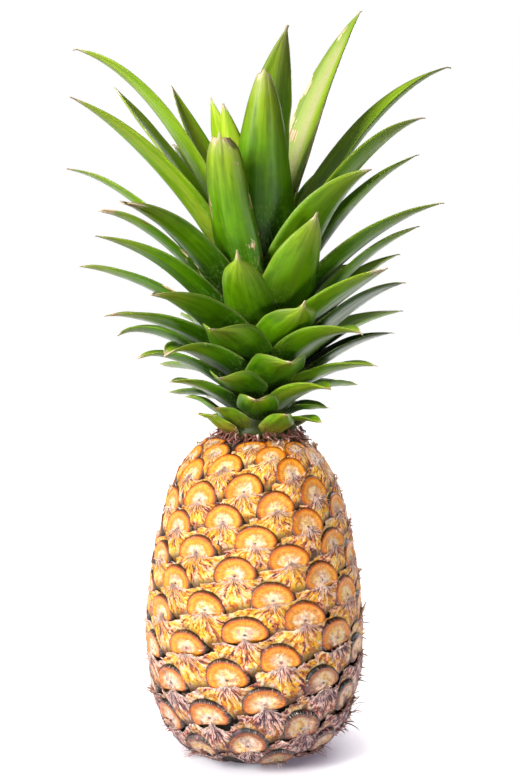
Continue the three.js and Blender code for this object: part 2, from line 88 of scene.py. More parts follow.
# Azimuth, the tip's reach and height, the tip's lean and, where given, the root's lean.
LEAF_POSES = {
    -2: (-52, 40, 14, 88), 0: (20, 38, 15, 80), 2: (102, 30, 9, 90), 3: (-35, 40, 18, 80),
    5: (50, 40, 10, 95), 6: (-88, 39, 21, 90), 8: (-3, 42, 23, 75), 10: (82, 35, 15.5, 85),
    11: (-55, 54, 31, 92), 13: (40, 53, 28, 98), 14: (-108, 51, 22, 80), 15: (115, 57, 25.5, 88),
    16: (-23, 52, 34, 80), 18: (62, 64, 39, 90), 19: (-76, 64, 42, 112), 21: (15, 56, 42, 80),
    22: (-128, 70, 35.5, 76), 23: (94, 68, 54, 77), 24: (-43, 66, 45, 118),
    26: (42, 71, 56, 98, 34), 27: (-96, 75, 53, 116), 28: (118, 87, 65, 80),
    29: (-20, 66, 58, 75), 31: (74, 74, 80, 74),
    32: (-63, 84, 64, 90), 34: (22, 54, 70, 30), 35: (-116, 50, 72, 80), 36: (107, 76, 95.3, 66),
    37: (-38, 82, 74, 85), 39: (54, 74, 86.5, 62), 40: (-83, 91.5, 88.5, 82), 41: (139, 58, 86, 80),
    42: (-9, 58, 94, 25), 43: (-136, 56, 84, 85), 44: (87, 80, 108.6, 66), 45: (-58, 90.5, 102, 79),
    47: (34, 50, 112, 12), 48: (-103, 52, 88, 80), 49: (119, 60, 90, 75), 50: (-20, 50, 150, 6),
    51: (-156, 70, 110, 75), 52: (75, 92, 119.5, 73), 53: (-84, 81, 116.2, 80.5, 36),
    54: (152, 55, 112, 75), 56: (-123, 54, 106, 85), 57: (99, 82.3, 146.8, 61, 21),
    58: (-51, 83, 117, 79, 36), 60: (47, 69.5, 133.5, 72), 61: (-91, 99, 138.8, 78, 38),
    62: (132, 70, 150, 65), 63: (1.5, 36, 181, 0), 64: (-143, 78, 158, 60),
    65: (79, 81.5, 162, 69), 66: (-62, 100, 167, 66), 67: (168, 72, 165, 62),
    68: (36, 22, 205, 14, 3), 69: (-111, 81, 183, 38), 70: (112, 108, 197, 69),
    71: (-33, 32, 167, 12), 72: (-165, 66, 168, 60), 73: (70, 9, 118, 5), 74: (-78, 92.5, 195, 72),
    75: (124, 64, 225, 33, 9), 76: (8, 12, 150, 5), 77: (-129, 62, 186, 24), 79: (-50, 33, 170, 8),
}
# How yellow and pale a leaf is, from 0 to 1, where it isn't plain green; on the upper leaves this
# is partly painted light shining through them. Below 0 is darker: painted shade on leaves that
# stand in shade.
LEAF_PALENESS_AND_PAINTED_LIGHT = {
    -2: 0.45, -1: 0.3, 0: 0.2, 1: 0.3, 3: 0.15, 5: 0.2, 22: 0.4, 36: 0.35, 69: 0.5, 71: 0.7,
    75: 1, 76: 0.6, 77: 0.85, 79: 0.75, 23: -0.9, 31: -0.8, 58: -0.2, 28: 0.3, 68: -0.2,
    50: -0.18, 63: -0.18, 47: 0.12, 60: 0.15, 66: 0.5, 61: 0.3, 74: 0.65, 70: 0.35, 65: 0.35,
    57: 0.2, 44: 0.15, 52: 0.1, 53: -0.2, 48: 0.15, 13: 0.55, 39: 0.25, 26: 0.15, 18: 0.3,
}
# How many times its usual width a leaf has.
LEAF_WIDTHS = {
    28: 0.9, 42: 0.78, 45: 0.85, 47: 1.15, 53: 0.88, 58: 0.88, 60: 1.1, 61: 0.86, 63: 1.06,
    65: 1.25, 66: 0.78, 68: 1.3, 69: 0.85, 70: 1.1, 74: 1.15, 75: 1.3, 79: 1.25,
}
LEAF_SWEEPS = {63: 0.3, 68: 0, 75: 0}  # how much of its sideways sweep a leaf keeps
# How much of a leaf's underside is silver, from 0 to 1; the silver is partly painted sheen, and the
# same share sets a painted shade towards the root.
LEAF_SILVER_AND_ROOT_SHADE = {
    31: 0.9, 23: 0.9, 36: 0.5, 44: 0.4, 52: 0.35, 39: 0.3, 28: 0.4, 26: 0.2, 18: 0.3, 15: 0.5,
    13: 0.2, 10: 0.5, 2: 0.3, 49: 0.2, 22: 0.5, 27: 0.35, 24: 0.25, 19: 0.4, 14: 0.4, 32: 0.3,
    6: 0.3, 11: 0.3, 61: 0.2, 57: 0.3,
}
# How much brown, dry damage a leaf has, from 0 to 1.
LEAF_DAMAGE = {40: 0.6, 50: 0.6, 53: 0.7, 58: 0.35, 63: 0.3, 75: 0.9, 24: 0.4, 77: 0.5, 69: 0.3,
               -2: 0.7, -1: 0.6, 0: 0.5, 1: 0.5, 2: 0.3, 3: 0.4, 5: 0.5, 8: 0.4}
# The share of a leaf, from its tip, that is dry, where that isn't as usual.
LEAF_DRYNESS = {8: 0.14, 16: 0.06, 3: 0.1, 5: 0.06, 0: 0.06, 13: 0.05, 21: 0.05, 50: 0.02,
                63: 0.012, 53: 0.07, 58: 0.08, 24: 0.06, 32: 0.07, 39: 0.08, 42: 0.05, 34: 0.03}
# Short broad leaves that end in a small point.
BULB_LEAVES = (8, 16, 21, 29, 34, 42)
PETALS_END = 8  # the leaves with lower numbers are short, and lie on the fruit
BROAD_LEAF, BROAD_WIDTH = 50, 27  # its end is torn off where it is still wide
FRINGE_STRIPS, FRINGE_TURN = 420, 2.39996  # radians from each strip to the next
SLIVER_STEPS = 6


# ---------- small helpers ----------
def mix(a, b, t):
    return a + (b - a) * t


def smooth(t):
    t = np.clip(t, 0, 1)
    return t * t * (3 - 2 * t)


def unit(vectors):
    return vectors / np.linalg.norm(vectors, axis=-1, keepdims=True)


def chance(seed):
    """A repeatable number from 0 to 1 for each seed."""
    value = np.sin(seed * 127.1 + 311.7) * 43758.5453
    return value - np.floor(value)


def waves(seed, *coordinates, count=6):
    """Smooth random relief, mostly within -1 and 1, over the given coordinates."""
    rng = np.random.default_rng(seed + 1000)
    total = 0
    for _ in range(count):
        pull = rng.normal(size=len(coordinates))
        total += np.sin(sum(c * k for c, k in zip(coordinates, pull)) + rng.uniform(0, 6.3))
    return total / math.sqrt(count)


def cubic(start, end, first, last, t):
    """From start to end as t goes from 0 to 1, with the slopes first and last."""
    return mix(start, end, smooth(t)) + t * (1 - t) * mix(first, -last, t)


def curve_through(pairs):
    """A smooth curve through (input, output) pairs that never overshoots them."""
    x, y = np.array(pairs, float).T
    slope = np.diff(y) / np.diff(x)
    before, after = slope[:-1], slope[1:]
    total = np.where(before + after == 0, 1, before + after)
    inner = np.where(before * after <= 0, 0, 2 * before * after / total)
    slopes = np.concatenate([slope[:1], inner, slope[-1:]])

    def value(at):
        i = np.clip(np.searchsorted(x, at) - 1, 0, len(x) - 2)
        span = x[i + 1] - x[i]
        t = np.clip((at - x[i]) / span, 0, 1)
        return cubic(y[i], y[i + 1], span * slopes[i], span * slopes[i + 1], t)

    return value


def around_axis(radius, azimuth, height):
    """Points at a distance from the axis, an azimuth from the front, and a height."""
    parts = np.broadcast_arrays(radius * np.sin(azimuth), -radius * np.cos(azimuth), height)
    return np.stack(parts, axis=-1)


def turned(rings, sides):
    """A surface turned round the axis through rings of (radius, height)."""
    radius, height = np.array(rings).T
    azimuth = np.linspace(0, 2 * np.pi, sides + 1)[:-1]
    return around_axis(radius[:, None], azimuth, height[:, None])


def new_object(name, data):
    made = bpy.data.objects.new(name, data)
    bpy.context.scene.collection.objects.link(made)
    return made


class Pile:
    """Collects grids of points, with values on them, and makes one mesh of them."""

    def __init__(self):
        self.points, self.quads, self.values, self.count = [], [], {}, 0

    def add(self, points, wrap=False, **values):
        rows, columns = points.shape[:2]
        number = self.count + np.arange(rows * columns).reshape(rows, columns)
        if wrap:
            number = np.concatenate([number, number[:, :1]], axis=1)
        corners = [number[:-1, :-1], number[:-1, 1:], number[1:, 1:], number[1:, :-1]]
        self.quads.append(np.stack([c.ravel() for c in corners], axis=1))
        self.points.append(points.reshape(-1, 3))
        self.count += rows * columns
        for name, parts in values.items():
            full = np.stack([np.broadcast_to(p, (rows, columns)) for p in parts], axis=-1)
            self.values.setdefault(name, []).append(full.reshape(-1, 3))

    def piece(self, name, material, slot):
        mesh = bpy.data.meshes.new(name)
        points = np.concatenate(self.points) / 1000
        mesh.from_pydata(points.tolist(), [], np.concatenate(self.quads).tolist())
        for key, parts in self.values.items():
            attribute = mesh.attributes.new(key, "FLOAT_VECTOR", "POINT")
            attribute.data.foreach_set("vector", np.concatenate(parts).astype(np.float32).ravel())
        mesh.validate()
        mesh.shade_smooth()
        mesh.materials.append(material)
        piece = new_object(name, mesh)
        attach(piece, "root")
        return piece


# ---------- shader helpers ----------
def srgb(*colour):
    """A colour given as 0 to 255 on the screen, as the linear colour that shaders use."""
    shares = [c / 255 for c in colour]
    return tuple(s / 12.92 if s <= 0.04045 else ((s + 0.055) / 1.055) ** 2.4 for s in shares) + (1,)


class Graph:
    """Builds a material step by step. A step's inputs are numbers, colours or other steps.

    A colour is three numbers as on the screen, 0 to 255, or four linear ones.
    """

    def __init__(self, name, owner=None):
        self.owner = owner or bpy.data.materials.new(name)
        self.owner.use_nodes = True
        self.tree = self.owner.node_tree
        self.tree.nodes.clear()

    def feed(self, socket, value):
        if isinstance(value, bpy.types.NodeSocket):
            self.tree.links.new(value, socket)
        elif socket.type == "RGBA" and len(value) == 3:
            socket.default_value = srgb(*value)
        else:
            socket.default_value = value

    def step(self, kind, inputs, output=0, **settings):
        node = self.tree.nodes.new("ShaderNode" + kind)
        for key, value in settings.items():
            setattr(node, key, value)
        for key, value in inputs.items():
            self.feed(node.inputs[key], value)
        return node.outputs[output] if len(node.outputs) else node

    def read(self, name):
        """The three numbers of a mesh attribute."""
        vector = self.step("Attribute", {}, "Vector", attribute_name=name)
        return tuple(self.step("SeparateXYZ", {0: vector}).node.outputs)

    def math(self, operation, *values):
        return self.step("Math", dict(enumerate(values)), operation=operation)

    def times(self, product, *others):
        for other in others:
            product = self.math("MULTIPLY", product, other)
        return product

    def scale(self, value, factor, offset):
        return self.math("MULTIPLY_ADD", value, factor, offset)

    def minus(self, value, other):
        return self.math("SUBTRACT", value, other)

    def vector(self, x, y, z):
        return self.step("CombineXYZ", {0: x, 1: y, 2: z})

    def noise(self, vector, scale, detail=3, rough=0.55, warp=0):
        inputs = {"Vector": vector, "Scale": scale, "Detail": detail, "Roughness": rough,
                  "Distortion": warp}
        return self.step("TexNoise", inputs)

    def span(self, value, low, high, to_low=0, to_high=1):
        """From one number to the other, smoothly, as the value goes from low to high."""
        inputs = dict(enumerate((value, low, high, to_low, to_high)))
        return self.step("MapRange", inputs, interpolation_type="SMOOTHSTEP")

    def ramp(self, value, stops):
        """A colour for each value, through stops of a place and a colour."""
        output = self.step("ValToRGB", {0: value})
        elements = output.node.color_ramp.elements
        for _ in stops[len(elements):]:
            elements.new(0.5)
        for element, (place, *colour) in zip(elements, stops):
            element.position = place
            element.color = srgb(*colour)
        return output

    def blend(self, share, first, second, kind="MIX"):
        inputs = {0: share, 6: first, 7: second}
        return self.step("Mix", inputs, 2, data_type="RGBA", blend_type=kind)

    def paint(self, colour, *coats):
        """The colour under coats, each a colour and the numbers whose product is its share.

        Among the numbers, a tuple is what span takes.
        """
        for coat, *shares in coats:
            shares = [self.span(*s) if isinstance(s, tuple) else s for s in shares]
            colour = self.blend(self.times(*shares), colour, coat)
        return colour

    def finish(self, colour, rough, relief=None, **more):
        """The material's surface. Relief is its height, distance and strength."""
        inputs = {"Base Color": colour, "Roughness": rough, **more}
        if relief:
            names = ("Height", "Distance", "Strength")
            inputs["Normal"] = self.step("Bump", dict(zip(names, relief)))
        self.step("OutputMaterial", {"Surface": self.step("BsdfPrincipled", inputs)})
        return self.owner


# ---------- the fruit's skin ----------
def profile_table():
    """The fruit's profile as distance down from the crown, radius and height."""
    given = np.array(FRUIT_PROFILE, float)
    padded = np.vstack([2 * given[0] - given[1], given, 2 * given[-1] - given[-2]])
    t = np.linspace(0, 1, 60)[:, None]
    parts = []
    for p0, p1, p2, p3 in zip(padded, padded[1:], padded[2:], padded[3:]):
        d0, d1, d2 = (math.sqrt(math.dist(a, b)) for a, b in ((p0, p1), (p1, p2), (p2, p3)))
        m1 = d1 * ((p1 - p0) / d0 - (p2 - p0) / (d0 + d1) + (p2 - p1) / d1)
        m2 = d1 * ((p2 - p1) / d1 - (p3 - p1) / (d1 + d2) + (p3 - p2) / d2)
        parts.append(cubic(p1, p2, m1, m2, t)[:-1])
    line = np.vstack([*parts, given[-1:]])
    distance = np.append(0, np.cumsum(np.hypot(*np.diff(line, axis=0).T)))
    return distance, line, unit(np.gradient(line, distance, axis=0))


PROFILE_DISTANCE, PROFILE_LINE, PROFILE_SLOPE = profile_table()
PROFILE_LENGTH = PROFILE_DISTANCE[-1]
row_of_eye = curve_through(EYE_ROWS)


def on_profile(table, distance):
    return [np.interp(distance, PROFILE_DISTANCE, column) for column in table.T]


def raised_profile(distance, lift):
    """Radius and height at a distance down the profile, raised along the normal."""
    along = np.clip(distance, 0, PROFILE_LENGTH)
    radius, height = on_profile(PROFILE_LINE, along)
    out, down = on_profile(PROFILE_SLOPE, along)
    ends = np.minimum(distance - 4, PROFILE_LENGTH - distance)
    lift = lift * mix(0.25, 1, smooth(ends / 26))
    return radius - down * lift, np.maximum(height + out * lift, 0.02)


def eye_azimuth(a, b):
    """The azimuth of a place, a steps of 8 and b steps of 13 from eye 0, in radians."""
    eye = 8 * a + 13 * b
    bent = np.minimum(eye, TWIST_UNTIL)
    more = eye - bent
    curve = (bent / TWIST_SPAN) ** 2 + more * 2 * bent / TWIST_SPAN**2 / 3
    return np.radians(
        STEP_8 * a + STEP_13 * b + TWIST_START + TWIST_PER_EYE * eye + TWIST_CURVE * curve
    )


class Eye:
    """One eye of the fruit. Places on it are s to the right and t upward, in cell units."""

    def __init__(self, number):
        self.number = number
        self.b = (5 * number) % 8
        self.a = (number - 13 * self.b) / 8
        self.distance = row_of_eye(number)
        self.azimuth = eye_azimuth(self.a, self.b)
        self.rng = np.random.default_rng(500 + number)
        self.size = 0.85 + 0.3 * chance(number)
        self.set_look()
        self.set_disc()

    def set_look(self):
        """How ripe an eye is and how dark and dry, which follow its place on the fruit."""
        ripe = 1 - smooth((self.distance - 60) / 120)
        # eyes further right are less ripe and darker: partly their own colour, partly painted shade
        # on the side away from the light
        right = smooth(math.sin(self.azimuth) * 0.8)
        seed, other = chance(self.number + 40), chance(self.number + 9)
        self.ripe = np.clip(ripe - 0.35 * right + 0.3 * (seed - 0.5), 0, 1)
        self.dark = np.clip(0.4 * right + 0.7 * (1 - ripe) + 0.3 * (other - 0.5), 0, 1)
        self.look = (seed, self.ripe, self.dark)

    def set_disc(self):
        """The size of the disc, which is nearly round, and where it and the tip lie."""
        half_width = math.radians(CELL_HALF_TURN) * on_profile(PROFILE_LINE, self.distance)[0]
        half_height = (row_of_eye(self.number + 10.5) - row_of_eye(self.number - 10.5)) / 2
        vary = self.rng.normal(size=4)
        self.disc_width = (0.42 * half_width + 4.75) * (1 + 0.035 * vary[0]) / half_width
        tall = DISC_TALL + DISC_TALLER * (1 - self.ripe)
        self.disc_height = min(tall * (1 + 0.05 * vary[1]) / half_height, 1) - EYE_RISE
        self.line = EYE_LINE + 0.03 * vary[2]
        self.middle = self.line + EYE_RISE
        self.shift = EYE_SHIFTS.get(self.number, 0.05 * vary[3])
        self.tip = self.shift + 0.12 * (chance(self.number + 3) - 0.5)
        self.level = 0.12 + 0.05 * (chance(self.number + 71) - 0.5)

    def lean(self, s):
        """The eye's own slant, which brings it nearer to level than its row is."""
        return self.level * s * (1 - 0.4 * s * s)

    def skin(self, s, t, lift):
        """Points of the skin at places on the eye, raised by lift."""
        t = t - self.lean(s)
        a, b = self.a + (s - t) / 2, self.b - (s + t) / 2
        radius, height = raised_profile(row_of_eye(8 * a + 13 * b), lift)
        return around_axis(radius, eye_azimuth(a, b), height)


disc_relief = curve_through([
    (0, 0.75), (0.12, 0.85), (0.3, 0.65), (0.5, 0.75), (0.64, 1.1), (0.76, 1.55), (0.86, 1.6),
    (0.94, 1.1), (1, 0.1), (1.05, -1.3), (1.1, -2.8),
])
DISC_RINGS = np.array(
    [0.03, 0.12, 0.22, 0.34, 0.46, 0.57, 0.66, 0.74, 0.81, 0.87, 0.92, 0.96, 1, 1.04, 1.1]
)


def add_disc(pile, eye):
    """The round upper part of an eye, with its thick rim and hollowed middle."""
    n = eye.number
    turn = np.linspace(-0.5 * np.pi, 1.5 * np.pi, 49)[:-1]
    rho, angle = np.meshgrid(DISC_RINGS, turn, indexing="ij")
    across, up = np.cos(angle), np.sin(angle)
    wobble = 1 + 0.025 * waves(n + 900, 1.6 * across, 1.6 * up)
    s = rho * across * eye.disc_width * wobble + eye.shift
    t = rho * np.where(up < 0, 0.6 * up, up) * eye.disc_height * wobble + eye.middle
    lean = eye.rng.normal(size=2) * 0.3
    relief = disc_relief(rho)
    relief *= np.where(relief > 0, eye.size, 1)
    inside = smooth((1.05 - rho) / 0.2)
    relief += (lean[0] * s + lean[1] * t) * inside
    relief += 0.16 * waves(n + 70, 5 * s, 5 * t) * inside
    streak = waves(n + 33, 9 * across, 9 * up, 1.2 * rho, count=9)
    relief += 0.12 * streak * smooth((rho - 0.15) / 0.3) * smooth((1 - rho) / 0.15)
    relief -= 3.5 * smooth((-up * rho - mix(0.55, 0.3, eye.ripe)) / 0.45)
    pile.add(eye.skin(s, t, relief), wrap=True, eye_place=(s, t, rho),
             eye_ray=(across, up, rho), eye_look=eye.look)


EYES = {number: Eye(number) for number in range(EYE_FIRST, EYE_LAST + 1)}


def bract_floor(eye, s):
    """How low the bract reaches: to just inside the discs of the three eyes below it."""
    low = np.full(np.shape(s), -1.6)
    for step, side, down in ((8, 1, 1), (13, -1, 1), (21, 0, 2)):
        below = EYES.get(eye.number + step, eye)
        from_middle = s - side
        room = np.maximum(0.66 - ((from_middle - below.shift) / below.disc_width) ** 2, 0)
        edge = below.middle + np.where(room > 0, np.sqrt(room) * below.disc_height, -0.3)
        low = np.maximum(low, edge - below.lean(from_middle) - down)
    return low + eye.lean(s)


def bract_edge(eye, s):
    """The bract's torn upper edge: level wings with a pointed tip in the middle."""
    n = eye.number
    tip = mix(0.02, 0.24, chance(n + 5) ** 2) * (0.8 + 0.5 * eye.dark)
    point = np.exp(-np.abs((s - eye.tip) / mix(0.08, 0.15, chance(n + 8))) ** 1.3)
    jag = 0.018 * waves(n + 210, 14 * s, count=7) + 0.018 * waves(n + 11, 47 * s)
    sag = 0.05 * waves(n + 77, 2.2 * s, count=3)
    droop = 0.17 * (1 - eye.ripe) * np.exp(-(((np.abs(s - eye.shift) - 0.42) / 0.24) ** 2))
    base = eye.line + 0.02 - 0.04 * (1 - eye.ripe)
    return base + tip * point + jag * (0.6 + eye.dark) + sag * (1 - s * s) - droop


BRACT_ROWS = np.array([0, 0.02, 0.07, 0.14, 0.22, 0.31, 0.41, 0.51, 0.61, 0.7, 0.78, 0.86, 0.93, 1])
bract_fall = curve_through([
    (0, 0.66), (0.1, 0.84), (0.3, 0.94), (0.5, 0.8), (0.68, 0.55), (0.8, 0.25), (0.9, -0.2),
    (1, -1),
])


def add_bract(pile, eye):
    """The papery scale under an eye's disc, folded in rays that run out from its tip."""
    n = eye.number
    across = np.linspace(-1, 1, 45)
    across = np.sign(across) * np.abs(across) ** 1.15 * 1.05
    v, s = np.meshgrid(BRACT_ROWS, across, indexing="ij")
    top, low = bract_edge(eye, s), bract_floor(eye, s)
    t = top + (np.minimum(low, top - 0.12) - top) * v
    aside, below = s - eye.tip, eye.line + RAY_RISE - t
    ray, far = np.arctan2(aside, below), np.hypot(aside, below)
    middle = 1 - smooth((np.abs(s - eye.shift) - 0.3) / 0.65)
    crown = mix(0.25, 1.7 * eye.size + 0.35, middle)
    lift = crown * bract_fall(v) - 0.9 * (1 - middle) * v
    bent = ray + 0.25 * waves(n + 130, 3 * s, 3 * t)
    fold = waves(n + 140, 5 * bent, 1.5 * far, count=8)
    fine = waves(n + 150, 12 * bent, 2 * far, count=8)
    lift += (0.16 * fold + 0.1 * fine) * smooth(v / 0.1 + 0.4) * smooth((1 - v) / 0.3)
    crumple = waves(n + 170, 15 * s, 15 * t, count=8)
    lift += 0.22 * crumple * np.exp(-((far - 0.25) / 0.3) ** 2) * (0.5 + eye.dark)
    peak = np.exp(-(aside / 0.16) ** 2) * (1 - smooth(v / 0.14))
    lift += peak * mix(0.1, 1.7, chance(n + 61) * (0.3 + 0.7 * eye.dark))
    curl = 0.25 + 0.6 * eye.dark
    lift += curl * waves(n + 160, 7 * s) * (1 - smooth(v / 0.1))
    # the first row is doubled, and its copy is tucked in behind the edge
    s, t, v, ray, far, lift = (np.vstack([x[:1], x]) for x in (s, t, v, ray, far, lift))
    hem = np.arange(len(v))[:, None] == 0
    pile.add(eye.skin(s, t - 0.06 * hem, lift - 0.9 * hem), eye_place=(s, t, v),
             eye_ray=(np.sin(ray), np.cos(ray), far), eye_look=eye.look)


def add_base(pile):
    """The skin under the eyes, with the flat foot and the hollow round the cut stalk."""
    distance = np.linspace(0, PROFILE_LENGTH, 150)
    radius, height = raised_profile(distance, CREVICE)
    height[-1], radius[-1] = 0, FOOT_RADIUS
    top = [(0.3, 166.5), (10, 166.5), (18, 166.8)]
    foot = [(19, 0), (SOCKET_RADIUS, 0), (SOCKET_RADIUS, SOCKET_DEPTH), (6, SOCKET_DEPTH),
            (0.3, SOCKET_DEPTH)]
    pile.add(turned([*top, *zip(radius, height), *foot], 180)[:, ::-1], wrap=True)


# ---------- dry slivers ----------
def add_sliver(pile, root, heading, outward, length, width, curl, look, twist):
    """A thin dry strip that starts at root, bends outward and narrows to a point."""
    heading = unit(heading)
    outward = unit(outward - heading * (heading @ outward))
    side = np.cross(heading, outward)
    along = np.linspace(0, 1, SLIVER_STEPS + 1)[:, None]
    cosine, sine = np.cos(curl * along), np.sin(curl * along)
    forward, normal = cosine * heading + sine * outward, -sine * heading + cosine * outward
    steps = np.vstack([np.zeros(3), np.cumsum(forward[:-1], axis=0)])
    centre = root + steps * (length / SLIVER_STEPS)
    centre += side * (np.sin(along * 3 + twist) * length * 0.06)
    half = width / 2 * (1 - along) ** 0.7 + 0.06
    cosine, sine = np.cos(twist * along), np.sin(twist * along)
    across, thick = cosine * side + sine * normal, cosine * normal - sine * side
    points = np.stack([centre - across * half, centre + thick * (0.12 + half * 0.25),
                       centre + across * half, centre - thick * 0.08], axis=1)
    points[..., 2] = np.maximum(points[..., 2], 0.05)
    pile.add(points, wrap=True, fray=(along, *look))


def eye_axes(eye, s, t, lift):
    """A point on an eye, the way up the fruit there, and the way out."""
    step = 0.02
    here, above, right = (eye.skin(s + x, t + y, lift) for x, y in ((0, 0), (0, step), (step, 0)))
    return here, unit(above - here), unit(np.cross(right - here, above - here))


def add_frays(pile, eye):
    """Loose fibres and split points along the edge of a bract, and others lying on it."""
    rng = np.random.default_rng(7000 + eye.number)
    outside = abs(math.sin(eye.azimuth))
    for _ in range(int(3 + 20 * eye.dark * (0.3 + outside) + 12 * outside**6)):
        s = np.clip(rng.normal() * 0.4, -0.97, 0.97)
        t = bract_edge(eye, s) - 0.03
        lift = 1.2 * (1 - abs(s)) * eye.size + 0.1
        root, up, out = eye_axes(eye, s, t, lift)
        side = np.cross(up, out)
        heading = up * rng.uniform(0.1, 0.9) + side * (rng.normal() * 0.7 - s * 0.8)
        heading += out * rng.uniform(0.1, 0.6)
        length = rng.uniform(1.2, 3) + 8 * rng.random() ** 2.5 * (0.1 + eye.dark) * (0.2 + outside)
        add_sliver(pile, root, heading, out, length, rng.uniform(0.45, 1.3),
                   rng.uniform(-0.3, 1.6), (rng.random(), eye.dark), rng.normal())
    for _ in range(int(3 + 12 * eye.dark)):
        turn = rng.normal() * 0.75
        far = rng.uniform(0.05, 0.5)
        s = eye.shift + far * math.sin(turn)
        t = eye.line + RAY_RISE - far * math.cos(turn)
        root, up, out = eye_axes(eye, s, t, 1.65 * eye.size)
        side = np.cross(up, out)
        heading = side * math.sin(turn) - up * math.cos(turn) + out * 0.12
        add_sliver(pile, root, heading, out, rng.uniform(1.5, 3.8), rng.uniform(0.25, 0.6),
                   rng.uniform(-0.4, 0.2), (rng.random() * 0.8, eye.dark * 0.9), rng.normal() * 0.5)


def add_fringe(pile):
    """The dry strips where the crown joins the fruit: some lie out, some hang over the edge."""
    rng = np.random.default_rng(31)
    up = np.array([0, 0, 1.0])
    for i in range(FRINGE_STRIPS):
        azimuth = FRINGE_TURN * i + rng.normal() * 0.1
        outward = around_axis(1, azimuth, 0)
        side = np.cross(up, outward)
        if i % 2:
            root = around_axis(rng.uniform(20.2, 21.5), azimuth, rng.uniform(167.5, 172.5))
            root += (2.6, 0, 0)
            heading = outward * rng.uniform(0.2, 0.8) - up * rng.uniform(0.3, 1)
            heading += side * rng.normal() * 0.6
            curl, length = rng.uniform(-0.8, 1.2), rng.uniform(3.5, 7.5)
            width, normal = rng.uniform(0.5, 1.8), outward
        else:
            radius = mix(19, 26, rng.random() ** 1.4)
            height = 167 - 0.06 * (radius - 18) ** 2 + rng.uniform(-0.4, 0.8)
            root = around_axis(radius, azimuth, height) + (1.2, 0, 0)
            heading = outward * rng.uniform(0.4, 1) + up * rng.uniform(-0.35, 0.15)
            heading += side * rng.normal() * 0.8
            curl, length = rng.uniform(0, 1), rng.uniform(4.5, 10)
            width, normal = rng.uniform(0.4, 1.3), -up
            if rng.random() < 0.12:
                curl, width, normal = rng.uniform(3, 5), 0.9, up
        add_sliver(pile, root, heading, normal + outward * 0.2, length, width, curl,
                   (rng.random(), rng.uniform(0.7, 2)), rng.normal() * 1.2)


# ---------- leaves ----------
stem_radius = curve_through([(height, radius) for radius, height in STEM_PROFILE])
width_share = curve_through([
    (0, 0.9), (0.15, 0.95), (0.35, 1), (0.6, 0.84), (0.8, 0.55), (0.93, 0.25), (1, 0.05),
])
broad_share = curve_through([
    (0, 0.9), (0.3, 0.95), (0.55, 1), (0.72, 0.97), (0.85, 0.86), (0.94, 0.68), (1, 0.4),
])
petal_share = curve_through([
    (0, 1), (0.25, 0.98), (0.5, 0.8), (0.75, 0.48), (0.9, 0.22), (1, 0.04),
])
bulb_share = curve_through([
    (0, 0.9), (0.15, 0.95), (0.4, 1), (0.62, 0.96), (0.78, 0.72), (0.87, 0.4), (0.92, 0.16),
    (1, 0.04),
])


def is_fused(leaf):
    return leaf < FIRST_FREE_LEAF or leaf in FUSED_HEART


def leaning(lean):
    """Which way a lean from upright points, in degrees, as a share outward and one up."""
    return np.stack([np.sin(np.radians(lean)), np.cos(np.radians(lean))], axis=-1)


def ruled_pose(number):
    """The pose of a leaf that has none of its own in LEAF_POSES."""
    spread = 6 * (chance(number + 7) - 0.5)
    reach = min(32 + 1.75 * number, 98) - 1.5 * max(0, number - 66) + spread
    height = 5 + 1.5 * number + 0.0165 * number**2 + spread
    return CROWN_FIRST_AZIMUTH - DIVERGENCE * number, reach, height, 95 - 0.4 * number


class Leaf:
    """One leaf of the crown: a curve in the plane of its azimuth and the sizes along it."""

    def __init__(self, number):
        self.number = number
        azimuth, reach, height, tip_lean, *given = LEAF_POSES.get(number) or ruled_pose(number)
        self.azimuth = math.radians(azimuth)
        self.tip_lean = tip_lean
        self.fused = is_fused(number)
        root = 3 + 0.93 * number + (1 if number < 0 else 0)
        root_lean = given[0] if given else mix(64, 17, np.clip(number / 75, 0, 1))
        self.thickness = mix(1.3, 1.6, smooth(number / 30)) - 0.4 * smooth((number - 45) / 30)
        clearance = -1.6 if self.fused else 0.55 + self.thickness / 2
        inner = np.array([stem_radius(root) + clearance, root])
        tip = np.array([reach, height])
        self.length = span = np.linalg.norm(tip - inner)
        self.root_radius = inner[0]
        self.control = (inner, inner + 0.36 * span * leaning(root_lean),
                        tip - 0.26 * span * leaning(tip_lean), tip)
        self.width = mix(20, 35, smooth(number / 28)) - 11 * smooth((number - 63) / 16)
        self.width *= LEAF_WIDTHS.get(number, 1)
        self.torn = TORN_LEAVES.get(number, 0)

    def spine(self, u):
        """Centre and heading along the leaf. Past 1 it goes on as a thin dry tip that curls."""
        t = np.clip(u, 0, 1)
        rest = 1 - t
        p0, p1, p2, p3 = self.control
        centre = rest**3 * p0 + 3 * rest**2 * t * p1 + 3 * rest * t**2 * p2 + t**3 * p3
        heading = rest**2 * (p1 - p0) + 2 * rest * t * (p2 - p1) + t**2 * (p3 - p2)
        past = np.clip(u - 1, 0, None) * self.length
        curled = leaning(self.tip_lean + mix(4, 16, chance(self.number + 23)) * past[:, 0])
        steps = np.diff(past, axis=0, prepend=0)
        centre += np.cumsum(np.where(u > 1, curled, 0) * steps, axis=0)
        return centre, np.where(u > 1, curled, unit(heading))

    def widths(self, u):
        """How wide the leaf is along it, from the sheath round the stem to its thin tip."""
        sheath = min((0.6 if self.fused else 0.8) * self.width, 1.6 * (self.root_radius + 1.5))
        inside = np.clip(u, 0, 1)
        if self.number == BROAD_LEAF:
            full = BROAD_WIDTH * broad_share(inside)
        elif self.number in BULB_LEAVES:
            full = self.width * bulb_share(inside)
        elif self.number < PETALS_END:
            full = self.width * petal_share(inside)
        else:
            full = self.width * width_share(inside * (1 - self.torn))
        full *= mix(1, 0.9 if self.torn else 0.12, smooth((u - 1) / 0.05))
        return mix(sheath, full, smooth(u / 0.3))


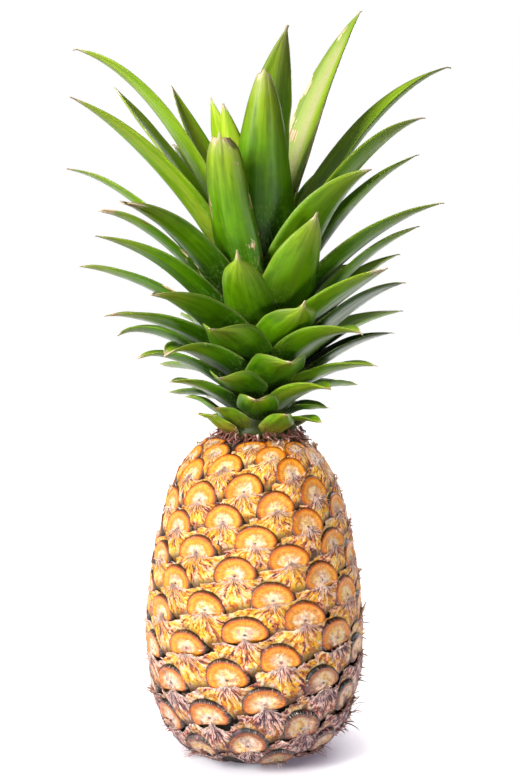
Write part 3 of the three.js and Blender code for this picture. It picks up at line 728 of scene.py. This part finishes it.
def leaf_stations(leaf):
    """Where along a leaf its rows of points are: closer towards the tip, and a few past it."""
    count = 26 if leaf.fused else 46
    inside = 1 - (1 - np.linspace(0, 1, count)) ** 1.25
    if leaf.torn:
        return inside
    past = mix(1, 3, chance(leaf.number + 13))
    return np.concatenate([inside, 1 + np.linspace(0, past / leaf.length, 6)[1:]])


def add_leaf(pile, number):
    """One channelled blade, thick in the middle and thin at its margins, closed all round."""
    leaf = Leaf(number)
    u = leaf_stations(leaf)[:, None]
    across = np.linspace(-1, 1, 13)
    across = np.sign(across) * np.abs(across) ** 0.85
    side, face = np.append(across, across[::-1]), np.repeat([1, -1], 13)
    centre, heading = leaf.spine(u)
    width = leaf.widths(u)
    hollow = mix(2.2, 1.3, smooth(1.25 * abs(math.sin(leaf.azimuth)) - 0.25))
    channel = mix(0.9 if number < PETALS_END else 1.25, hollow, smooth((u - 0.3) / 0.4))
    turn = np.minimum(2.2, np.maximum(channel, width / (centre[:, :1] + 1)))
    bend = width / turn
    middle = mix(leaf.thickness, 0.8, smooth(u / 0.75)) * smooth(width / 4 + 0.25)
    angle = side * turn / 2
    edge = np.minimum(0.28, middle * 0.6)
    offset = face * mix(middle, edge, side**2) / 2
    ripple = 0.35 * waves(number + 300, 2.2 * side, 9 * u) * smooth(u / 0.2)
    frill = 0.12 * waves(number + 330, 12 * u + side, count=4) * np.abs(side) ** 3
    thin = smooth(width / 8)
    rise = bend * (1 - np.cos(angle)) + offset * np.cos(angle) + (ripple + frill) * thin * 0.6
    sideways = (bend - offset) * np.sin(angle)
    ragged = 0
    if leaf.torn:
        shred = waves(number + 400, 5 * side, count=5) + 0.7 * waves(number + 410, 15 * side)
        ragged = 2.4 * shred * smooth((u - 0.9) / 0.1)
    sweep = 2.2 * waves(number + 500, 2.5 * u, count=2) * smooth((u - 0.25) / 0.5)
    sweep *= smooth(leaf.length / 60 - 0.5) * LEAF_SWEEPS.get(number, 1)
    sideways += sweep
    radial = centre[:, :1] - heading[:, 1:] * rise + heading[:, :1] * ragged
    height = centre[:, 1:] + heading[:, :1] * rise + heading[:, 1:] * ragged
    points = around_axis(radial, leaf.azimuth, height) + CROWN_PLACE
    points += around_axis(sideways, leaf.azimuth + np.pi / 2, 0)
    points, u = (np.concatenate([rows[:1], rows, rows[-1:]]) for rows in (points, u))
    points[[0, -1]] = points[[0, -1]].mean(axis=1, keepdims=True)
    pale_and_painted_light = LEAF_PALENESS_AND_PAINTED_LIGHT.get(number, 0.12 * (chance(number + 3) - 0.5))
    dry = LEAF_DRYNESS.get(number, mix(0, 0.03, chance(number + 17)))
    damage = LEAF_DAMAGE.get(number, 0.1 * chance(number + 31))
    stain = max(0, 1 - (number - FIRST_LEAF) / 8)
    pile.add(
        points, wrap=True, leaf_place=(u, side, 0.5 + 0.5 * face),
        leaf_look=(pale_and_painted_light, dry, chance(number + 2)),
        leaf_wear=(LEAF_SILVER_AND_ROOT_SHADE.get(number, 0), damage, stain),
    )


def add_stem(pile):
    """The core of the crown, which shows only between the leaves."""
    points = turned([(0.2, 0.5), *STEM_PROFILE, (0.2, 85.5)], 36) + CROWN_PLACE
    # its first look value of -0.9 darkens it: painted shade in the gaps between the leaves
    pile.add(points, wrap=True, leaf_place=(0.5, 0, 0.5), leaf_look=(-0.9, 0, 0.3),
             leaf_wear=(0, 0, 1))


# ---------- materials of the fruit ----------
def ray_noise(g, ray, seed, around, along, *noise):
    """Noise whose marks run out from the middle of an eye."""
    seeded = g.scale(seed, 37, g.times(ray[2], along))
    spot = g.vector(g.times(ray[0], around), g.times(ray[1], around), seeded)
    return g.noise(spot, *noise)


def disc_material():
    g = Graph("pineapple_eye")
    place, ray, (seed, ripe, dark) = g.read("eye_place"), g.read("eye_ray"), g.read("eye_look")
    out = place[2]
    broad = ray_noise(g, ray, seed, 1.3, 1.2, 1.6, 3)
    streaks = ray_noise(g, ray, seed, 4, 1.5, 2.4, 4, 0.65)
    # where the colours lie: uneven but for the rim, and further out where it isn't ripe
    shift = g.scale(g.minus(broad, 0.5), 0.34, out)
    uneven = g.scale(g.minus(streaks, 0.5), 0.3, shift)
    uneven = g.times(uneven, g.scale(ripe, 0.22, 0.78))
    keep = g.span(out, 0.6, 0.9)
    rho = g.math("ADD", g.times(uneven, g.minus(1, keep)), g.times(out, keep))
    rho = g.times(rho, 0.93)
    # the rim's colours: the bright amber band on its inner slope is partly painted highlight, and
    # the near-black outer edge is partly its own brown and partly painted shade where the disc
    # falls into the crevice
    ripe_colour = g.ramp(rho, [
        (0, 214, 160, 140), (0.08, 246, 220, 204), (0.26, 252, 224, 190), (0.37, 250, 204, 112),
        (0.45, 230, 140, 34), (0.51, 238, 142, 8), (0.61, 254, 176, 22), (0.69, 244, 144, 6),
        (0.76, 210, 98, 2), (0.82, 138, 62, 6), (0.89, 48, 28, 8),
    ])
    old_colour = g.ramp(rho, [
        (0, 220, 170, 160), (0.12, 252, 234, 218), (0.44, 250, 222, 190), (0.53, 214, 150, 116),
        (0.6, 120, 64, 54), (0.69, 186, 106, 48), (0.76, 88, 46, 44), (0.81, 32, 18, 26),
        (0.9, 12, 6, 10),
    ])
    red_colour = g.ramp(rho, [
        (0, 226, 170, 150), (0.1, 255, 238, 222), (0.34, 252, 224, 184), (0.44, 240, 180, 90),
        (0.53, 226, 128, 24), (0.66, 240, 134, 4), (0.75, 206, 92, 6), (0.81, 112, 46, 12),
        (0.87, 26, 12, 8),
    ])
    patch = g.noise(g.vector(place[0], place[1], g.times(seed, 53)), 2.6, 4, 0.6)
    patchy = g.minus(patch, g.scale(dark, -0.2, 0.7))
    colour = g.paint(
        old_colour, (red_colour, (dark, 0.8, 0.4)), (ripe_colour, (ripe, 0.2, 0.75)),
        ((104, 58, 72), (patchy, -0.02, 0.08), 0.75),
    )
    warm = g.blend(ripe, (0.97, 0.84, 0.78, 1), (0.98, 0.95, 0.72, 1))
    colour = g.blend(1, colour, warm, "MULTIPLY")
    middle = g.span(rho, 0.5, 0.32)
    zone = g.times(g.span(out, 0.08, 0.2), g.span(out, 0.9, 0.7))
    strokes = ray_noise(g, ray, seed, 8, 1.2, 2.2, 3, 0.6)
    whites = ray_noise(g, ray, seed, 6, 1.3, 2, 2, 0.5)
    ticks = ray_noise(g, ray, seed, 10, 0.5, 2, 2, 0.5)
    spots = g.noise(g.vector(place[0], place[1], g.times(seed, 91)), 7, 3, 0.6)
    colour = g.paint(
        colour, ((252, 206, 40), (patch, 0.48, 0.43), middle, 0.75),
        (g.blend(middle, (160, 70, 10), (196, 110, 96)), (strokes, 0.55, 0.6), zone, 0.5),
        (g.blend(middle, (255, 208, 110), (255, 246, 236)), (whites, 0.54, 0.66), zone, 0.4),
        # light ticks on the outer rim, more on dark eyes: partly marks of the rim and partly
        # painted highlight
        ((232, 214, 180), (ticks, 0.56, 0.64), (out, 0.84, 0.9), (out, 1, 0.94),
         g.scale(dark, 0.45, 0.1)),
        ((206, 132, 118), (spots, 0.52, 0.58), middle, 0.7),
        ((255, 238, 226), (spots, 0.47, 0.4), middle, 0.6),
        ((90, 40, 46), (out, 0.12, 0.04), (broad, 0.44, 0.54, 0.15, 0.85)),
    )
    fine = g.noise(g.vector(place[0], place[1], seed), 30, 3)
    rough = g.span(out, 0.5, 0.8, 0.44, 0.26)
    return g.finish(colour, rough, (g.scale(fine, 0.4, streaks), 0.0008, 0.8))


def bract_material():
    g = Graph("pineapple_bract")
    place, ray, (seed, ripe, dark) = g.read("eye_place"), g.read("eye_ray"), g.read("eye_look")
    far = ray[2]
    flat = g.vector(place[0], place[1], g.times(seed, 29))
    bend = g.minus(g.noise(flat, 3.5, 2), 0.5)
    bent = (g.scale(bend, 0.55, ray[0]), ray[1], far)
    fibres = ray_noise(g, bent, seed, 3.2, 1.1, 2.6, 4, 0.6, 0.3)
    bundles = ray_noise(g, bent, seed, 1.5, 0.8, 2.2, 2, 0.5)
    dots = ray_noise(g, bent, seed, 4.5, 4, 3, 3, 0.62)
    blots = g.noise(flat, 5, 4, 0.6)
    grit = g.noise(flat, 13, 3, 0.65)
    mixed = g.scale(g.minus(grit, 0.5), 0.35, fibres)
    paper = g.ramp(fibres, [
        (0.42, 48, 16, 36), (0.455, 164, 76, 72), (0.485, 228, 140, 110), (0.52, 248, 204, 186),
        (0.56, 255, 246, 242),
    ])
    flesh = g.ramp(mixed, [
        (0.4, 60, 22, 30), (0.44, 170, 74, 44), (0.47, 228, 128, 66), (0.515, 246, 172, 104),
        (0.56, 254, 216, 178), (0.6, 255, 244, 238),
    ])
    rosy = g.ramp(mixed, [
        (0.4, 44, 16, 34), (0.44, 136, 66, 78), (0.48, 214, 136, 122), (0.52, 244, 194, 172),
        (0.56, 255, 230, 214), (0.6, 255, 248, 246),
    ])
    yellow = g.ramp(mixed, [
        (0.38, 170, 70, 0), (0.43, 240, 140, 0), (0.49, 255, 182, 0), (0.56, 255, 212, 20),
        (0.62, 255, 240, 150),
    ])
    old = g.ramp(fibres, [
        (0.435, 10, 4, 16), (0.46, 60, 26, 42), (0.485, 152, 82, 78), (0.51, 230, 164, 156),
        (0.535, 255, 240, 244),
    ])
    olive = g.ramp(fibres, [
        (0.38, 96, 76, 34), (0.46, 186, 160, 96), (0.54, 226, 208, 164), (0.62, 250, 240, 220),
    ])
    warm = (0.97, 0.76, 0.72, 1)
    flesh = g.blend(g.span(ripe, 0.65, 0.2, 0, 0.85), flesh, rosy)
    flesh = g.blend(1, flesh, warm, "MULTIPLY")
    spread = g.scale(ripe, 0.05, bundles)
    aside = g.math("ABSOLUTE", place[0])
    flesh = g.paint(
        flesh, (yellow, (spread, 0.48, 0.53), (ripe, 0.1, 0.6, 0.35, 1)),
        # olive-grey towards the lower sides: partly the bract's own colour, partly painted shade
        # where it dips towards the crevice
        (olive, (aside, 0.55, 0.85), (place[2], 0.3, 0.7), 0.6),
    )
    paper = g.blend(g.span(dark, 0.15, 0.65), paper, old)
    paper = g.blend(1, paper, warm, "MULTIPLY")
    # papery near its tip, fleshy further out; a dry bract is papery nearly all over
    reach = g.scale(dark, 0.6, g.scale(ripe, -0.16, 0.34))
    inside = g.scale(g.minus(bundles, 0.5), 1.1, g.minus(reach, far))
    colour = g.paint(
        flesh, (paper, (inside, -0.12, 0.16)),
        (g.blend(ripe, (255, 226, 216), (255, 214, 152)), (fibres, 0.53, 0.58), 0.7),
        ((255, 226, 212), (place[2], 0.12, 0.02), 0.5),
        ((72, 30, 44), (dots, 0.57, 0.62), (far, 0.8, 0.2, 0.35, 1), 0.85),
        ((76, 36, 62), (blots, 0.51, 0.59), g.scale(dark, 0.9, 0.05)),
        # painted shade at the bract's far end, where it tucks under the discs below: olive-brown,
        # near black on dark eyes, a little less on ripe eyes
        (g.blend(dark, (96, 60, 12), (14, 6, 14)), (place[2], 0.6, 0.88),
         g.scale(ripe, -0.12, 0.95)),
    )
    return g.finish(colour, 0.55, (g.scale(dots, -0.6, fibres), 0.0014, 1))


def fray_material():
    g = Graph("dry_fibre")
    along, seed, dark = g.read("fray")
    lines = g.noise(g.vector(g.times(along, 1.5), seed, seed), 9, 3)
    fresh = g.blend(lines, (246, 196, 170), (255, 244, 236))
    old = g.blend(lines, (66, 30, 38), (196, 120, 104))
    deep = g.blend(lines, (36, 12, 14), (128, 62, 40))
    pick = g.scale(dark, 0.8, g.times(seed, 0.5))
    colour = g.paint(
        fresh, (old, (pick, 0.5, 0.95)), ((236, 196, 176), (along, 0.55, 1, 0, 0.45)),
        (deep, (dark, 1.1, 1.7, 0, 0.9)),
    )
    return g.finish(colour, 0.7, (lines, 0.0004, 0.5))


def base_material():
    g = Graph("pineapple_crevice")
    spot = g.step("TexCoord", {}, "Object")
    blotch, grain = g.noise(spot, 160, 4), g.noise(spot, 900, 3)
    # dark olive-brown, partly the skin's own colour and partly painted shade deep in the crevices
    # between the eyes
    colour = g.ramp(blotch, [(0.3, 18, 12, 10), (0.5, 44, 34, 20), (0.7, 84, 72, 44)])
    return g.finish(colour, 0.75, (grain, 0.0006, 0.7))


def stalk_material():
    g = Graph("cut_stalk_fibre")
    spot = g.step("TexCoord", {}, "Object")
    dots = g.step("TexVoronoi", {"Vector": spot, "Scale": 900}, "Distance")
    stain = g.noise(spot, 130, 4)
    colour = g.blend(g.span(dots, 0.1, 0.5), (140, 104, 66), (222, 200, 160))
    colour = g.blend(g.span(stain, 0.5, 0.75, 0, 0.7), colour, (128, 92, 60))
    return g.finish(colour, 0.85, (dots, 0.0008, 0.8))


# ---------- material of the leaves ----------
def leaf_material():
    g = Graph("pineapple_leaf")
    u, side, face = g.read("leaf_place")
    pale_and_painted_light, dry, seed = g.read("leaf_look")
    silver_and_root_shade, damage, stain = g.read("leaf_wear")
    seeded = g.times(seed, 61)

    def grain(across, along, detail=3, warp=0):
        spot = g.vector(g.times(side, across), g.times(u, along), seeded)
        return g.noise(spot, 1, detail, 0.6, warp)

    fine, veins = grain(11, 2, 2), grain(5, 1.5, 2)
    cloud, bands = grain(2.4, 3.4), grain(2, 22)
    out_side = g.math("ABSOLUTE", side)
    # lighter towards the tip: partly the leaf's own paler tip, partly painted highlight on its
    # upper part
    green = g.ramp(u, [
        (0, 90, 124, 14), (0.1, 76, 128, 2), (0.35, 78, 136, 0), (0.68, 110, 162, 4),
        (0.88, 162, 190, 40), (1, 204, 206, 112),
    ])
    green = g.paint(
        green, ((30, 74, 0), (veins, 0.4, 0.65, 0, 0.35)),
        ((150, 190, 30), (fine, 0.5, 0.75, 0, 0.2)),
        ((24, 64, 0), (fine, 0.48, 0.3, 0, 0.2)),
        ((24, 60, 0), (cloud, 0.45, 0.68, 0, 0.45)),
        # painted shade: darker towards the root, where the leaves crowd together
        ((10, 46, 0), (u, 0.6, 0.1, 0, 0.8)),
        ((130, 180, 20), (bands, 0.5, 0.7, 0, 0.2)),
        # painted shade: darker towards both margins, where the channelled blade turns away from the
        # light
        ((28, 68, 0), (out_side, 0.5, 0.95, 0, 0.3)),
    )
    # one leaf is bleached: cream on one half, clear yellow-green on the other
    stripe = g.scale(side, -0.5, g.scale(fine, 0.3, 0.35))
    cream = g.ramp(stripe, [
        (0, 112, 138, 40), (0.2, 160, 178, 90), (0.42, 176, 174, 118), (0.54, 144, 170, 44),
        (0.68, 124, 162, 2), (0.78, 108, 140, 2), (0.84, 84, 54, 26),
    ])
    rip = g.math("ABSOLUTE", g.minus(grain(3, 26, 3, 1.2), 0.5))
    cream = g.paint(
        cream, ((120, 156, 16), (u, 0.8, 0.95, 0, 0.8)),
        ((170, 178, 130), (u, 0.4, 0.15, 0, 0.8)),
        ((84, 84, 50), (rip, 0.02, 0.005), (u, 0.5, 0.3, 0.15, 0.7)),
    )
    lime = g.blend(g.span(veins, 0.35, 0.65), (140, 180, 6), (194, 210, 56))
    lime = g.paint(
        lime, ((120, 164, 20), (cloud, 0.42, 0.62, 0, 0.6)),
        (cream, (pale_and_painted_light, 0.9, 0.98)),
    )
    # silver along the middle of the underside, partly painted sheen, darker towards the root as
    # painted shade
    keel = g.scale(silver_and_root_shade, 0.75, g.times(cloud, 0.3))
    band = g.minus(out_side, keel)
    silver_sheen_and_shade = g.ramp(fine, [(0.3, 148, 162, 144), (0.42, 194, 206, 190), (0.55, 236, 242, 232)])
    silver_sheen_and_shade = g.blend(g.span(u, 0.5, 0.2, 0, 0.6), silver_sheen_and_shade, (54, 54, 66))
    # the lowest leaves are stained yellow and brown where they meet the fruit
    rust = g.blend(g.span(cloud, 0.45, 0.6), (150, 120, 10), (110, 56, 16))
    # dry brown damage at the margins and at the tip
    patch = g.scale(out_side, 0.22, grain(2.4, 9, 4, 0.6))
    hurt = g.minus(patch, g.scale(damage, -0.2, 0.9))
    bark = g.ramp(fine, [(0.35, 90, 54, 26), (0.47, 180, 140, 90), (0.58, 236, 220, 190)])
    wander = g.scale(g.minus(fine, 0.5), 0.12, u)
    tip = g.minus(wander, g.minus(0.992, dry))
    # in order: lime, partly painted light on the upper leaves; deep green, painted shade on leaves
    # in shade; slate, painted shade towards the root; silver, partly painted sheen; rust, scurf,
    # margins, damage and the dry tip
    colour = g.paint(
        green, (lime, g.math("MAXIMUM", pale_and_painted_light, 0)),
        ((14, 40, 4), g.math("MINIMUM", pale_and_painted_light, 0), -1),
        ((20, 30, 26), (u, 0.55, 0.15, 0, 0.85), (silver_and_root_shade, 0.1, 0.5)),
        (silver_sheen_and_shade, (band, 0.06, -0.25), (face, 0.6, 0.4), (silver_and_root_shade, 0.05, 0.2), (u, 1, 0.8, 0.4, 0.8)),
        (rust, stain, (u, 0.6, 0.15), 0.75),
        ((176, 214, 130), (grain(20, 46, 1), 0.56, 0.64), (u, 0.55, 0.08), 0.6),
        ((142, 146, 66), (out_side, 0.92, 1), (seed, 0, 1, 0.25, 0.45)),
        (bark, (hurt, 0, 0.05), (damage, 0.12, 0.3), 0.9), (bark, (tip, -0.01, 0.025), 0.85),
        ((220, 200, 170), (wander, 0.995, 1.02), 0.6),
    )
    rough = g.span(bands, 0.3, 0.7, 0.3, 0.46)
    relief = (g.scale(fine, 0.3, veins), 0.0006, 0.3)
    return g.finish(colour, rough, relief, **{"Specular IOR Level": 0.2})


# ---------- building the pieces ----------
def build_fruit():
    base, discs, bracts, frays, fringe = (Pile() for _ in range(5))
    add_base(base)
    for eye in EYES.values():
        add_disc(discs, eye)
        add_bract(bracts, eye)
        add_frays(frays, eye)
    add_fringe(fringe)
    dry = fray_material()
    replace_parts(base.piece("fruit_base", base_material(), "fruit_skin"), "fruit")
    discs.piece("fruit_eyes", disc_material(), "fruit_skin")
    bracts.piece("fruit_bracts", bract_material(), "fruit_skin")
    frays.piece("bract_fibres", dry, "fruit_skin")
    fringe.piece("crown_fringe", dry, "fruit_skin")
    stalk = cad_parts["cut_stalk"]
    stalk.data.materials.clear()
    stalk.data.materials.append(stalk_material())


def build_crown():
    green = leaf_material()
    heart = Pile()
    add_stem(heart)
    for number in range(FIRST_LEAF, LAST_LEAF + 1):
        if number in MISSING_LEAVES:
            continue
        pile = heart if is_fused(number) else Pile()
        add_leaf(pile, number)
        if pile is not heart:
            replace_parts(pile.piece(f"crown_leaf_{number}", green, "leaf"), f"leaf_{number}")
    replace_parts(heart.piece("crown_heart", green, "crown_stem"), "crown_stem")


# ---------- floor, light and camera ----------
def build_floor():
    mesh = bpy.data.meshes.new("floor")
    mesh.from_pydata([(-8, -8, 0), (8, -8, 0), (8, 8, 0), (-8, 8, 0)], [], [(0, 1, 2, 3)])
    g = Graph("white_floor")
    # the floor glows, but less and in lilac near the fruit: a painted contact shadow, under which
    # the real contact shadow shows
    where = g.step("TexCoord", {}, "Object")
    away = g.step("VectorMath", {0: where}, "Value", operation="LENGTH")
    painted_shadow = g.span(away, 0.075, 0.03)
    glow = g.blend(painted_shadow, (1, 1, 1, 1), (0.74, 0.6, 0.9, 1))
    mesh.materials.append(g.finish((0.9, 0.9, 0.9, 1), 0.7, **{
        "Emission Color": glow, "Emission Strength": g.scale(painted_shadow, -0.66, 0.78),
        "Specular IOR Level": 0,
    }))
    floor = new_object("floor", mesh)
    floor.visible_diffuse = False


def build_world():
    """White to the eye; its light is strongest from the left and above."""
    world = bpy.data.worlds.new("studio")
    bpy.context.scene.world = world
    g = Graph("studio", world)
    toward = g.step("TexCoord", {}, "Generated")
    slope = g.step("VectorMath", {0: toward, 1: (-0.12, 0, 0.1)}, "Value",
                   operation="DOT_PRODUCT")
    white = (1, 1, 1, 1)
    light = g.step("Background", {"Color": white, "Strength": g.math("ADD", slope, 0.19)})
    seen = g.step("Background", {"Color": white, "Strength": 1})
    camera_ray = g.step("LightPath", {}, "Is Camera Ray")
    shader = g.step("MixShader", {0: camera_ray, 1: light, 2: seen})
    g.step("OutputWorld", {"Surface": shader})


def add_lamp(name, place, aim, size, power, spread=180):
    lamp = bpy.data.lights.new(name, "AREA")
    lamp.spread = math.radians(spread)
    lamp.shape = "RECTANGLE"
    lamp.size, lamp.size_y = size
    lamp.energy = power
    holder = new_object(name, lamp)
    holder.location = place
    toward = Vector(aim) - Vector(place)
    holder.rotation_euler = toward.to_track_quat("-Z", "Y").to_euler()


def build_lights():
    build_world()
    add_lamp("key", (-1.15, -1, 0.85), (0, 0, 0.2), (0.6, 0.8), 48)
    add_lamp("fill", (1.1, -1.2, 0.04), (0, 0, 0.06), (0.6, 0.2), 0.62, spread=24)
    add_lamp("back", (0.5, 1.3, 0.8), (0, 0, 0.25), (1, 0.8), 14)


def build_camera():
    data = bpy.data.cameras.new("camera")
    data.sensor_width, data.lens = 36, 56.65
    data.clip_start, data.clip_end = 0.01, 50
    camera = new_object("camera", data)
    camera.location = (0.00275, -0.64, 0.2418)
    camera.rotation_euler = (math.radians(85.5), 0, 0)
    bpy.context.scene.camera = camera


build_camera()
build_floor()
build_lights()
build_fruit()
build_crown()
bpy.context.scene.view_settings.view_transform = "Standard"

bpy.context.view_layer.update()
